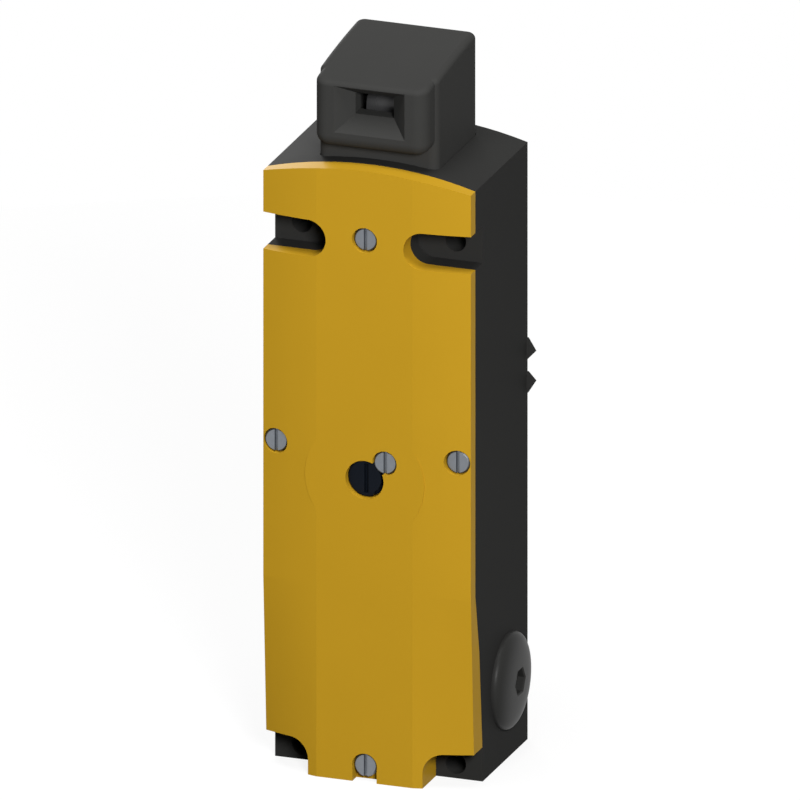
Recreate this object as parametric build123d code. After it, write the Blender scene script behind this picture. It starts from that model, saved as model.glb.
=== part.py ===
from build123d import *
from math import cos, degrees, hypot, radians, sin
import os

# Tongue interlock switch with guard locking and manual release.
# X to the right, Y to the back, Z up. The origin is the centre of the box at the bottom face.
# All sizes are in millimetres.

# Overall size
width = 54.0
depth = 43.5
crown_z = 159.1
crown_rise = 3.7
front_y = -depth / 2
back_y = depth / 2

# Housing
wall = 3.0
seam_gap = 0.1
cut_past = 5.0
face_gap = 0.3
rim_steps = [(170.0, 5.2), (50.0, 5.2), (34.5, 8.05), (9.0, 10.25), (-5.0, 10.35)]
column_r = 5.2
corner_r = 1.0

# Fixing to the guard's frame
fix_spacing_x = 40.0
fix_spacing_z = 136.0
fix_low_z = 3.8
fix_hole_r = 2.65
fix_floor_y = -11.35
notch_h = 9.6
notch_in_x = 10.1
foot_top_z = 9.0
foot_in_x = 14.9
foot_corner_r = 5.0
notch_wall = 2.4

# Wedge lugs at the rear edges
lug_mid_z = 97.2
lug_gap = 3.4
lug_len = 5.4
lug_out = 2.0
lug_thick = 1.6
lug_tip_share = 0.4

# Cable entries
entry_z = 20.2
entry_y = 6.75
thread_r = 9.25
entry_boss_r = 13.0
entry_depth = 9.0
plug_flange_r = 12.3
plug_dome = 2.6
plug_rim = 1.1
plug_slot_w = 2.0
plug_slot_l = 12.0
plug_slot_d = 1.0
plug_wall = 2.2
washer_t = 0.8
washer_r = 11.2

# Cover
cover_flat_x = 12.5
flank_drop = 1.9
flank_drop_foot = 4.5
flank_bulge = 0.28
flank_from_z = 50.0
pad_r = 15.5
cover_wall = 2.6
cover_rim = 3.4
slot_notch_w = 6.3
slot_notch_top_z = 7.4
gasket_t = 1.0
gasket_w = 1.5

# Cover screws
screw_head_r = 3.0
screw_head_t = 2.2
screw_sink = 0.8
screw_shank_r = 1.95
screw_len = 14.0
screw_slot_w = 0.9
screw_slot_d = 0.9
screw_top_z = 141.0
screw_side_x = 23.6
screw_side_z = 85.6
screw_low_z = 4.2
screw_boss_r = 3.9
screw_low_wall = 1.0
screw_end_gap = 1.0
thread_gap = 0.05

# Manual release
release_z = 78.7
release_r = 4.875
release_sink = 1.4
release_shaft_r = 3.5
release_shaft_end_y = -8.0
release_pin_r = 1.2
release_pin_end_y = -3.4
release_throw = 2.475
release_start_deg = 45.0
release_turn_deg = 90.0
release_slot_w = 1.1
release_slot_l = 7.6
release_slot_d = 1.2
seal_screw_x = 5.2
seal_screw_z = 83.6
seal_screw_len = 4.0
release_gap = 0.1
release_bush_r = 7.2
oring_r = 0.5
oring_groove = 1.1
clip_t = 0.8

# Head
head_w = 31.0
head_front_y = -12.4
head_back_y = 17.05
head_seat_z = 156.0
head_seal_t = 1.0
head_top = [(17.05, 184.3), (3.5, 183.25), (-18.35, 180.0)]
head_corner_r = 2.35
head_top_r = 1.5
nose_w = 29.4
nose_front_y = -18.35
nose_corner_r = 3.5
nose_bottom_z = 162.8
nose_bottom_r = 3.0
nose_root = 12.0
funnel_w = 18.4
funnel_low_z = 166.9
funnel_top_z = 179.0
funnel_depth = 4.0
tongue_w = 10.0
tongue_low_z = 171.0
tongue_h = 5.5
head_pocket_gap = 0.15
head_screw_x = 11.6
head_screw_y = 10.6
head_screw_r = 1.75
head_screw_head_r = 3.0
head_screw_head_t = 2.0
head_screw_up = 9.0

# Cam wheel
axis_y = 2.35
cam_z = 169.0
cam_r = 9.2
cam_rim_r = 9.5
cam_width = 9.6
cam_track_w = 4.8
cam_turn_deg = 75.0
cam_dwell_deg = 24.0
cam_pin_r = 1.5
cam_pin_len = 21.4
cam_room_x = 7.8
cam_room_y = 13.0
cam_room_top = 10.8
cam_notch_r = 4.6
cam_notch_from_deg = 2.0
cam_notch_to_deg = 62.0
retainer_t = 2.0
axle_end_gap = 0.3
cam_back_deg = 210.0

# Plunger
plunger_stroke = 5.0
plunger_r = 2.5
nose_r = 2.0
nose_len = 7.5
plunger_low_z = 88.0
collar_r = 5.5
collar_low_z = 91.6
collar_t = 1.8
guide_r = 4.6
guide_low_z = 146.0
guide_flange_r = 6.2
guide_flange_t = 1.4
slide_gap = 0.1
plunger_seal_t = 1.6

# Contacts
block_in_x = 8.0
block_side = 2.9
block_front_sink = 10.15
block_back_sink = 9.75
block_screw_sink = 16.0
block_low_z = 106.0
block_top_z = 130.0
block_wall = 2.0
bar_low_z = 114.0
bar_t = 4.0
bar_half_x = 17.6
bar_half_y = 2.3
bar_hub_r = 5.0
bar_hub_low_z = 111.0
bar_hub_rise = 2.0
bridge_t = 0.8
bridge_half_y = 2.0
strip_x = 10.9
strip_pitch = 9.4
strip_w = 3.0
strip_t = 1.0
rivet_r = 1.2
rivet_h = 0.6
strip_back_y = 5.5
terminal_pad = 6.0
terminal_head_r = 2.6
terminal_head_t = 1.8
terminal_shank_r = 1.4
terminal_len = 5.0
m3_r = 1.5
m3_head_r = 2.6
m3_head_t = 1.8
m3_boss_r = 3.4
m3_grip = 5.0

# Solenoid
coil_x = -11.0
coil_half_x = 12.0
coil_half_y = 12.5
coil_low_z = 34.0
coil_top_z = 66.0
yoke_t = 2.5
winding_r = 10.8
bobbin_r = 6.0
bobbin_bore_r = 4.9
bobbin_flange_t = 1.6
armature_r = 4.6
armature_travel = 2.5
core_len = 12.0
pad_low_z = 70.6
pad_t = 3.4
pad_left_x = -22.6
pad_right_x = -2.6
pad_half_y = 4.8
arm_half_y = 2.2
stem_w = 6.0

# Monitor contact and supply terminals, right of the solenoid
side_block_in_x = 4.0
side_block_out_x = 23.2
monitor_low_z = 48.0
monitor_top_z = 66.0
monitor_x = 9.2
monitor_bar_low_z = 57.0
supply_low_z = 34.0
supply_top_z = 44.0
side_block_front_sink = 15.75
side_screw_sink = 4.0
supply_pitch = 12.8

# Lock
lever_x = -4.0
lever_z = 80.0
lever_hub_r = 2.9
lever_pin_r = 1.3
lever_hub_half_y = 5.3
lever_half_y = 2.8
lever_arm_len = 11.5
lever_arm_t = 3.0
lever_tip_z = 94.0
lever_tip_t = 1.9
lever_tip_x = -2.9
lever_upright_x = -10.6
lever_upright_w = 3.0
lever_bend_in = 4.5
lever_bend_out = 5.5
carriage_travel = 3.5
carriage_t = 2.5
carriage_low_z = 76.4
carriage_top_z = 86.0
carriage_left_x = -8.2
carriage_right_x = 7.0
frame_t = 2.5
frame_half_x = 15.0
frame_low_z = 69.5
frame_top_z = 102.0
frame_shelf_y = -3.2
frame_shelf_x = 9.0
frame_screw_x = 11.6
frame_screw_low_z = 72.6
frame_screw_top_z = 95.0
lug_slot_h = 4.0
guide_lug_x = 9.0

# Springs
wire_r = 0.4
plunger_spring_turns = 4
armature_spring_turns = 2

# Sizes worked out from those above
outer_x = width / 2
joint_y = front_y + rim_steps[0][1]
crown_r = (outer_x ** 2 + crown_rise ** 2) / (2 * crown_rise)
crown_centre_z = crown_z - crown_r
fix_x = fix_spacing_x / 2
fix_top_z = fix_low_z + fix_spacing_z
inner_back_y = back_y - wall
block_out_x = strip_x + strip_pitch + block_side
block_front_y = front_y + block_front_sink
block_back_y = back_y - block_back_sink
side_block_front_y = front_y + side_block_front_sink
side_block_back_y = block_back_y
axle_groove_x = cam_pin_len / 2 + axle_end_gap
head_low_z = head_seat_z + head_seal_t
seat_under_z = head_seat_z - wall - 0.5
nose_top_rest_z = cam_z - cam_r - face_gap
lever_arm_x = lever_x - lever_arm_len
lever_turn_deg = degrees(armature_travel / lever_arm_len)
far = 400.0


def block(x0, x1, y0, y1, z0, z1):
    centre = ((x0 + x1) / 2, (y0 + y1) / 2, (z0 + z1) / 2)
    return Pos(*centre) * Box(abs(x1 - x0), abs(y1 - y0), abs(z1 - z0))


def rod_z(x, y, r, z0, z1):
    return Pos(x, y, (z0 + z1) / 2) * Cylinder(r, abs(z1 - z0))


def rod_y(x, z, r, y0, y1):
    return Pos(x, (y0 + y1) / 2, z) * Rot(90, 0, 0) * Cylinder(r, abs(y1 - y0))


def rod_x(y, z, r, x0, x1):
    return Pos((x0 + x1) / 2, y, z) * Rot(0, 90, 0) * Cylinder(r, abs(x1 - x0))


def front_prism(sketch_face, y0, y1):
    # A face drawn with x to the right and y up, swept from y0 back to y1.
    placed = Plane(origin=(0, y1, 0), x_dir=(1, 0, 0), z_dir=(0, -1, 0)) * sketch_face
    return extrude(placed, amount=y1 - y0)


def side_prism(points, x0, x1):
    # A closed outline of (y, z) points, swept from x0 to x1.
    face = make_face(Polyline(*[(y, z) for y, z in points], close=True))
    placed = Plane(origin=(x0, 0, 0), x_dir=(0, 1, 0), z_dir=(1, 0, 0)) * face
    return extrude(placed, amount=x1 - x0)


def mirror_x(shape):
    return mirror(shape, Plane.YZ)


def both_sides(shape):
    return [shape, mirror_x(shape)]


# Outlines shared by the housing and the cover

def arch_face(inset):
    # The front outline: a rectangle under the arched top.
    half = outer_x - inset
    radius = crown_r - inset
    side_z = crown_centre_z + (radius ** 2 - half ** 2) ** 0.5
    crown = crown_centre_z + radius
    outline = [
        Line((-half, inset), (half, inset)),
        Line((half, inset), (half, side_z)),
        ThreePointArc((half, side_z), (0, crown), (-half, side_z)),
        Line((-half, side_z), (-half, inset)),
    ]
    return make_face(outline)


def upper_notch_face(grow):
    r = notch_h / 2 + grow
    inner = notch_in_x + notch_h / 2
    reach = outer_x + cut_past
    bar = Pos((inner + reach) / 2, fix_top_z) * Rectangle(reach - inner, 2 * r)
    return bar + Pos(inner, fix_top_z) * Circle(r)


def foot_notch_face(grow):
    x0 = foot_in_x - grow
    x1 = outer_x + cut_past
    z0 = -cut_past
    z1 = foot_top_z + grow
    r = foot_corner_r + grow
    outline = [
        Line((x0, z0), (x1, z0)),
        Line((x1, z0), (x1, z1)),
        Line((x1, z1), (x0 + r, z1)),
        RadiusArc((x0 + r, z1), (x0, z1 - r), -r),
        Line((x0, z1 - r), (x0, z0)),
    ]
    return make_face(outline)


def notch_cuts(y0, y1, grow=0.0):
    shapes = []
    for face in (upper_notch_face(grow), foot_notch_face(grow)):
        shapes += both_sides(front_prism(face, y0, y1))
    return shapes


def behind_seam(offset):
    # Everything behind the line where the cover meets the housing.
    points = [(front_y + step + offset, z) for z, step in rim_steps]
    return side_prism(points + [(far, points[-1][1]), (far, points[0][1])], -far, far)


def cavity_face():
    # The inside of the housing, clear of its notches.
    face = arch_face(wall)
    for notch in (upper_notch_face(notch_wall), foot_notch_face(notch_wall)):
        face = face - notch - mirror(notch, Plane.YZ)
    return face


# Housing and cover

def screw_places():
    return [
        (0.0, screw_top_z),
        (-screw_side_x, screw_side_z),
        (screw_side_x, screw_side_z),
        (0.0, screw_low_z),
    ]


def m3_bosses():
    # Threaded bosses on the back wall: x, z and the y of their front face.
    places = []
    block_x = (block_in_x + block_out_x) / 2
    for side in (-1, 1):
        for z in (block_low_z + m3_head_r + 0.2, block_top_z - m3_head_r - 0.2):
            places.append((side * block_x, z, block_back_y))
        for z in (frame_screw_low_z, frame_screw_top_z):
            places.append((side * frame_screw_x, z, frame_back_y()))
    return places


def side_screw_places():
    x = (side_block_in_x + side_block_out_x) / 2
    return [
        (x, (supply_low_z + supply_top_z) / 2, side_block_back_y),
        (x, monitor_low_z + m3_head_r + 0.4, side_block_back_y),
    ]


def frame_back_y():
    return carriage_back_y() + face_gap + frame_t


def carriage_back_y():
    return axis_y + lever_hub_half_y + face_gap + carriage_t


def carriage_front_y():
    return axis_y - lever_hub_half_y - face_gap - carriage_t


def coil_back_y():
    return axis_y + coil_half_y


def wedge_lug(side, direction):
    # A small wedge that stands out of the rear side edge.
    base = lug_mid_z + direction * lug_gap / 2
    tip = base + direction * lug_len * lug_tip_share
    end = base + direction * lug_len
    outline = Polyline((0, base), (lug_out, tip), (0, end), (-1, end), (-1, base), close=True)
    lug = front_prism(make_face(outline), back_y - lug_thick, back_y)
    lug = Pos(outer_x, 0, 0) * lug
    return lug if side > 0 else mirror_x(lug)


def make_housing():
    shell = front_prism(arch_face(0.0), front_y, back_y) & behind_seam(0.0)
    rear = shell.edges().filter_by(lambda e: abs(e.center().Y - back_y) < 0.01)
    shell = fillet(rear, corner_r)
    shell -= front_prism(cavity_face(), front_y - cut_past, inner_back_y)
    shell += [wedge_lug(side, way) for side in (-1, 1) for way in (-1, 1)]

    inside = front_prism(arch_face(wall / 2), fix_floor_y, back_y - wall / 2)
    shell += [part & inside for part in notch_cuts(fix_floor_y, fix_floor_y + wall, notch_wall)]
    for x in (-fix_x, fix_x):
        shell += rod_y(x, fix_top_z, column_r, fix_floor_y, inner_back_y)
        column = rod_y(x, fix_low_z, column_r, fix_floor_y, inner_back_y)
        shell += column & inside
    seat = block(-head_w / 2 - 1.5, head_w / 2 + 1.5, joint_y + 1.5, back_y - 1, seat_under_z, head_seat_z)
    shell += seat & inside_roof()
    shell += entry_bosses()
    for x, z in screw_places():
        boss = rod_y(x, z, screw_boss_r, seam_y_at(z) + gasket_t, screw_hole_y(z) + screw_low_wall)
        shell += boss & front_prism(arch_face(0.2), front_y, back_y)
    web_front_y = seam_y_at(screw_top_z) + gasket_t
    shell += block(-notch_wall / 2, notch_wall / 2, web_front_y, guide_front_y(),
                   screw_top_z + screw_boss_r - 1, crown_z - wall)
    for x, z, y in m3_bosses() + side_screw_places():
        shell += rod_y(x, z, m3_boss_r, y, inner_back_y + 0.5)
    for x in (coil_x - coil_boss_x(), coil_x + coil_boss_x()):
        for z in coil_screw_zs():
            shell += rod_y(x, z, m3_boss_r - 0.6, coil_back_y(), inner_back_y + 0.5)

    shell -= notch_cuts(front_y - cut_past, fix_floor_y)
    for x in (-fix_x, fix_x):
        for z in (fix_low_z, fix_top_z):
            shell -= rod_y(x, z, fix_hole_r, fix_floor_y - 1, back_y + 1)
    shell -= head_pocket()
    shell -= rod_z(0, axis_y, guide_r + thread_gap, seat_under_z - 1, head_seat_z + 1)
    for x, y in head_screw_places():
        shell -= rod_z(x, y, head_screw_r + slide_gap, seat_under_z - 1, head_seat_z + 1)
    shell -= rod_x(entry_y, entry_z, thread_r, -outer_x - 1, outer_x + 1)
    shell -= rod_z(0, entry_y, thread_r, -1, entry_depth + 1)
    for x, z in screw_places():
        shell -= rod_y(x, z, screw_shank_r + thread_gap, front_y, screw_hole_y(z))
    for x, z, y in m3_bosses() + side_screw_places():
        shell -= rod_y(x, z, m3_r + thread_gap, y - 1, y + m3_grip + 0.5)
    for x in (coil_x - coil_boss_x(), coil_x + coil_boss_x()):
        for z in coil_screw_zs():
            shell -= rod_y(x, z, m3_r + thread_gap, coil_back_y() - 1, coil_back_y() + m3_grip - 1.5)
    return shell - gasket_band(0.0)


def inside_roof():
    return front_prism(arch_face(0.5), front_y, back_y)


def guide_front_y():
    return axis_y - guide_flange_r - 2.5


def seam_y_at(z):
    # The y of the seam at a height, between the listed steps.
    for (z1, s1), (z0, s0) in zip(rim_steps, rim_steps[1:]):
        if z0 <= z <= z1:
            return front_y + s0 + (s1 - s0) * (z - z0) / (z1 - z0)
    return joint_y


def screw_hole_y(z):
    # How far back a cover screw's hole goes. The bottom one stops short of the cable entry.
    if z < entry_depth:
        return entry_y - thread_r - screw_low_wall
    return seam_y_at(z) + screw_len


def coil_boss_x():
    return coil_half_x - m3_head_r - 0.3


def coil_screw_zs():
    return [coil_low_z + yoke_t + m3_head_r + 0.3, coil_top_z - yoke_t - m3_head_r - 0.3]


def entry_bosses():
    boss = rod_x(entry_y, entry_z, entry_boss_r, outer_x - entry_depth, outer_x - 1)
    low = rod_z(0, entry_y, entry_boss_r, 1, entry_depth)
    room = front_prism(arch_face(wall / 2), front_y, back_y - wall / 2)
    return [part & room for part in both_sides(boss) + [low]]


def head_pocket():
    gap = head_pocket_gap
    mid_y = (head_front_y + head_back_y) / 2
    length = head_back_y - head_front_y
    face = RectangleRounded(head_w + 2 * gap, length + 2 * gap, head_corner_r + gap)
    return Pos(0, mid_y, head_seat_z) * extrude(face, amount=far)


def sealed_face():
    # What the cover seal runs round: the inside, short of the side and bottom screws.
    face = cavity_face()
    for x, z in screw_places()[1:]:
        face = face - Pos(x, z) * Circle(screw_boss_r - 0.1)
    return face


def gasket_band(gap):
    # The groove for the cover seal in the housing's rim, or with a gap the seal itself.
    band = offset(sealed_face(), gasket_w - gap) - offset(sealed_face(), gap)
    return front_prism(band, front_y, 0) & (behind_seam(-gap) - behind_seam(gasket_t - gap))


def largest(shape):
    return max(shape.solids(), key=lambda s: s.volume)


def cover_section(z, drop):
    # One level cross-section of the cover's outside, closed well behind the seam.
    side_y = front_y + drop
    mid = ((cover_flat_x + outer_x) / 2, (front_y + side_y) / 2 - flank_bulge)
    lines = [
        Line((-cover_flat_x, front_y), (cover_flat_x, front_y)),
        ThreePointArc((cover_flat_x, front_y), mid, (outer_x, side_y)),
        Line((outer_x, side_y), (outer_x, 0)),
        Line((outer_x, 0), (-outer_x, 0)),
        Line((-outer_x, 0), (-outer_x, side_y)),
        ThreePointArc((-outer_x, side_y), (-mid[0], mid[1]), (-cover_flat_x, front_y)),
    ]
    return Pos(0, 0, z) * make_face(lines)


def make_cover():
    upper = extrude(cover_section(flank_from_z, flank_drop), amount=crown_z - flank_from_z + 1)
    sections = [cover_section(0, flank_drop_foot), cover_section(flank_from_z, flank_drop)]
    body = upper + loft(sections, ruled=True)
    body += rod_y(0, release_z, pad_r, front_y, 0)
    body = body & front_prism(arch_face(0.0), front_y - 1, back_y)
    body -= behind_seam(-seam_gap)

    room = front_prism(offset(cavity_face(), -(cover_rim - wall)), front_y + cover_wall, 0)
    body -= room & side_room()
    for x, z in screw_places():
        body += rod_y(x, z, screw_boss_r + 0.4, front_y + 2.2, seam_y_at(z) - seam_gap) & cover_outside()
    collar = rod_y(0, release_z, release_bush_r, front_y + 1, joint_y - seam_gap)
    body += collar

    body -= notch_cuts(front_y - cut_past, back_y)
    for x, z in screw_places():
        y = screw_face_y(x, z)
        body -= rod_y(x, z, screw_head_r + 0.25, front_y - 2, y + screw_head_t)
        body -= rod_y(x, z, screw_shank_r + 0.2, front_y, 0)
    body -= low_notch()
    body -= rod_y(0, release_z, release_r + release_gap, front_y - 1, release_step_y())
    body -= rod_y(0, release_z, release_shaft_r + release_gap, front_y - 1, 0)
    body -= rod_y(seal_screw_x, seal_screw_z, screw_head_r + 0.15, front_y - 1, seal_seat_y())
    body -= rod_y(seal_screw_x, seal_screw_z, screw_shank_r - 0.6 + thread_gap, front_y,
                  seal_seat_y() + seal_screw_len)
    return largest(body)


def side_room():
    # Keeps the room behind the flanks a wall's thickness inside the outer face.
    inner = [cover_section(0, flank_drop_foot), cover_section(flank_from_z, flank_drop)]
    shape = loft(inner, ruled=True) + extrude(inner[1], amount=crown_z)
    return Pos(0, cover_wall, 0) * shape


def cover_outside():
    sections = [cover_section(0, flank_drop_foot), cover_section(flank_from_z, flank_drop)]
    shape = loft(sections, ruled=True) + extrude(sections[1], amount=crown_z)
    return shape & front_prism(arch_face(0.0), front_y - 1, back_y)


def low_notch():
    r = slot_notch_w / 2
    face = Pos(0, slot_notch_top_z - r) * Circle(r) + Pos(0, (slot_notch_top_z - r) / 2 - 2) * Rectangle(
        slot_notch_w, slot_notch_top_z - r + 4)
    return front_prism(face, front_y - 1, screw_face_y(0, screw_low_z) + screw_head_t)


def screw_face_y(x, z):
    # The front of a cover screw's head, a little under the cover's face.
    share = max(0.0, (abs(x) - cover_flat_x) / (outer_x - cover_flat_x))
    return front_y + screw_sink + flank_drop * share * 0.75


def release_step_y():
    return front_y + 3.4


def seal_seat_y():
    return front_y + screw_sink - 0.2 + screw_head_t


def slotted_screw(x, z, y, head_r, head_t, shank_r, length, slot_w, slot_d):
    screw = rod_y(x, z, head_r, y, y + head_t)
    rim = screw.edges().filter_by(GeomType.CIRCLE).sort_by(Axis.Y)[0]
    screw = chamfer(rim, head_t * 0.16)
    screw += rod_y(x, z, shank_r, y + head_t, y + head_t + length)
    return screw - block(x - slot_w / 2, x + slot_w / 2, y - 1, y + slot_d, z - far, z + far)


def make_cover_screws():
    screws = []
    for x, z in screw_places():
        y = screw_face_y(x, z)
        length = screw_hole_y(z) - screw_end_gap - (y + screw_head_t)
        screws.append(slotted_screw(x, z, y, screw_head_r, screw_head_t, screw_shank_r, length,
                                    screw_slot_w, screw_slot_d))
    return Compound(screws)


def make_sealing_screw():
    y = seal_seat_y() - screw_head_t
    return slotted_screw(seal_screw_x, seal_screw_z, y, screw_head_r, screw_head_t,
                         screw_shank_r - 0.6, seal_screw_len - 0.3, screw_slot_w, screw_slot_d)


# Manual release

def make_release_rotor():
    face_y = front_y + release_sink
    rotor = rod_y(0, release_z, release_r, face_y, release_step_y() - slide_gap)
    rotor = chamfer(rotor.edges().filter_by(GeomType.CIRCLE).sort_by(Axis.Y)[0], 0.4)
    rotor += rod_y(0, release_z, release_shaft_r, release_step_y() - 1, release_shaft_end_y)
    angle = radians(release_start_deg)
    pin_x = release_throw * cos(angle)
    pin_z = release_z + release_throw * sin(angle)
    rotor += rod_y(pin_x, pin_z, release_pin_r, release_shaft_end_y - 0.5, release_pin_end_y)
    rotor -= block(-release_slot_w / 2, release_slot_w / 2, face_y - 1, face_y + release_slot_d,
                   release_z - release_slot_l / 2, release_z + release_slot_l / 2)
    rotor -= seal_recess(face_y)
    groove = rod_y(0, release_z, release_shaft_r + 1, oring_y() - oring_r - 0.1, oring_y() + oring_r + 0.1)
    rotor -= groove - rod_y(0, release_z, release_shaft_r - oring_groove, -far, far)
    clip = rod_y(0, release_z, release_shaft_r + 1, clip_y(), clip_y() + clip_t)
    rotor -= clip - rod_y(0, release_z, release_shaft_r - 0.8, -far, far)
    return largest(rotor)


def seal_recess(face_y):
    # The gap in the rotor's rim that the sealing screw's head fills, swept over its turn.
    x = seal_screw_x
    z = seal_screw_z - release_z
    cut = []
    steps = 6
    for i in range(steps + 1):
        turn = radians(release_turn_deg * i / steps)
        px = x * cos(turn) + z * sin(turn)
        pz = release_z + z * cos(turn) - x * sin(turn)
        cut.append(rod_y(px, pz, screw_head_r + face_gap, face_y - 1, seal_seat_y() + face_gap))
    return cut


def oring_y():
    return release_step_y() + 0.4 + oring_r


def clip_y():
    return joint_y + face_gap - seam_gap


def make_release_seal():
    mid = release_shaft_r - oring_groove / 2
    ring = Rot(90, 0, 0) * Torus(mid, oring_r)
    return Pos(0, oring_y(), release_z) * ring


def make_release_clip():
    ring = rod_y(0, release_z, release_shaft_r + 1.6, clip_y() + 0.05, clip_y() + clip_t - 0.05)
    ring -= rod_y(0, release_z, release_shaft_r - 0.7, -far, far)
    return ring - block(-1.4, 1.4, -far, far, release_z - far, release_z)


# Head

def head_side_face():
    # The head seen from its right side, down to the bottom of the switch.
    back, mid, front = head_top
    return make_face([
        Line((nose_front_y, 0), (head_back_y, 0)),
        Line((head_back_y, 0), back),
        ThreePointArc(back, mid, front),
        Line(front, (nose_front_y, 0)),
    ])


def make_head():
    mid_y = (head_front_y + head_back_y) / 2
    length = head_back_y - head_front_y
    base = extrude(RectangleRounded(head_w, length, head_corner_r), amount=far)
    base = Pos(0, mid_y, head_low_z) * base
    nose_len_y = head_front_y - nose_front_y + nose_root
    nose_mid_y = nose_front_y + nose_len_y / 2
    nose = Pos(0, nose_mid_y, nose_bottom_z) * extrude(
        RectangleRounded(nose_w, nose_len_y, nose_corner_r), amount=far)
    low = nose.edges().filter_by(lambda e: abs(e.center().Z - nose_bottom_z) < 0.01)
    nose = fillet(low.filter_by(lambda e: e.center().Y < head_front_y), nose_bottom_r)
    top_face = Plane(origin=(-far, 0, 0), x_dir=(0, 1, 0), z_dir=(1, 0, 0)) * head_side_face()
    head = (base + nose) & extrude(top_face, amount=2 * far)
    rim = head.edges().filter_by(lambda e: e.center().Z > head_top[2][1] - 0.2)
    head = fillet(rim, head_top_r)

    head -= block(-cam_room_x, cam_room_x, axis_y - cam_room_y, axis_y + cam_room_y - 1.5,
                  head_low_z - 1, cam_z + cam_room_top)
    mouth = tongue_low_z + tongue_h / 2
    mid = (funnel_low_z + funnel_top_z) / 2
    face_plane = Plane(origin=(0, nose_front_y - 0.01, mid), x_dir=(1, 0, 0), z_dir=(0, -1, 0))
    slot_plane = Plane(origin=(0, nose_front_y + funnel_depth, mouth), x_dir=(1, 0, 0), z_dir=(0, -1, 0))
    funnel = loft([face_plane * Rectangle(funnel_w, funnel_top_z - funnel_low_z),
                   slot_plane * Rectangle(tongue_w, tongue_h)], ruled=True)
    head -= funnel
    head -= block(-tongue_w / 2, tongue_w / 2, nose_front_y + 1, axis_y,
                  tongue_low_z, tongue_low_z + tongue_h)
    gap = cam_pin_r + slide_gap
    head -= block(-axle_groove_x, axle_groove_x, axis_y - gap, axis_y + gap, head_low_z - 1, cam_z)
    head -= rod_x(axis_y, cam_z, gap, -axle_groove_x, axle_groove_x)
    head -= retainer_seat()
    for x, y in head_screw_places():
        head -= rod_z(x, y, head_screw_r + thread_gap, head_low_z - 1, head_low_z + head_screw_up + 0.5)
    return largest(head)


def retainer_seat():
    return block(-cam_room_x, cam_room_x, axis_y - cam_room_y, axis_y + cam_room_y - 1.5,
                 head_low_z - 1, head_low_z + retainer_t)


def head_screw_places():
    return [(sx * head_screw_x, axis_y + sy * head_screw_y) for sx in (-1, 1) for sy in (-1, 1)]


def make_head_seal():
    mid_y = (head_front_y + head_back_y) / 2
    length = head_back_y - head_front_y
    seal = extrude(RectangleRounded(head_w - 1, length - 1, head_corner_r - 0.5), amount=head_seal_t)
    seal = Pos(0, mid_y, head_seat_z) * seal
    seal -= rod_z(0, axis_y, guide_flange_r + 0.3, 0, far)
    for x, y in head_screw_places():
        seal -= rod_z(x, y, head_screw_r + slide_gap, 0, far)
    return seal


def make_head_screws():
    screws = []
    for x, y in head_screw_places():
        head_z = seat_under_z - head_screw_head_t
        screw = rod_z(x, y, head_screw_head_r, head_z, seat_under_z)
        screw += rod_z(x, y, head_screw_r, seat_under_z - 0.5, head_low_z + head_screw_up)
        screw -= extrude(Pos(x, y, head_z) * RegularPolygon(1.5, 6), amount=1.2)
        screws.append(screw)
    return Compound(screws)


def make_axle_retainer():
    # A plate under the wheel with two legs that stand in the axle's grooves.
    y0 = axis_y - cam_room_y + slide_gap
    y1 = axis_y + cam_room_y - 1.5 - slide_gap
    x = cam_room_x - slide_gap
    plate = block(-x, x, y0, y1, head_low_z, head_low_z + retainer_t - 0.2)
    plate -= rod_z(0, axis_y, plunger_r + 0.6, 0, far)
    leg_y = cam_pin_r
    outer = axle_groove_x - slide_gap
    leg = block(x - 0.5, outer, axis_y - leg_y, axis_y + leg_y, head_low_z, cam_z)
    leg -= block(x - 1, cam_room_x, -far, far, head_low_z + retainer_t - 0.2, far)
    leg -= rod_x(axis_y, cam_z, cam_pin_r + slide_gap, 0, outer + 1)
    return plate + both_sides(leg)


def make_cam_axle():
    return rod_x(axis_y, cam_z, cam_pin_r, -cam_pin_len / 2, cam_pin_len / 2)


def cam_track_points():
    # The face that lets the plunger rise, parallel to the path of its nose's centre.
    turn = radians(cam_turn_deg)
    slope = -plunger_stroke / turn
    inset = nose_r + face_gap
    points = []
    steps = 8
    for i in range(steps + 1):
        angle = turn * i / steps
        pitch = cam_r + inset - plunger_stroke * i / steps
        size = hypot(pitch, slope)
        radial = pitch - inset * pitch / size
        across = inset * slope / size
        points.append((
            radial * sin(angle) + across * cos(angle),
            -radial * cos(angle) + across * sin(angle),
        ))
    return points


def on_cam(radius, degrees_past):
    # A point of the wheel, by its radius and its angle from straight down to the back.
    angle = radians(degrees_past)
    return (radius * sin(angle), -radius * cos(angle))


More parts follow.
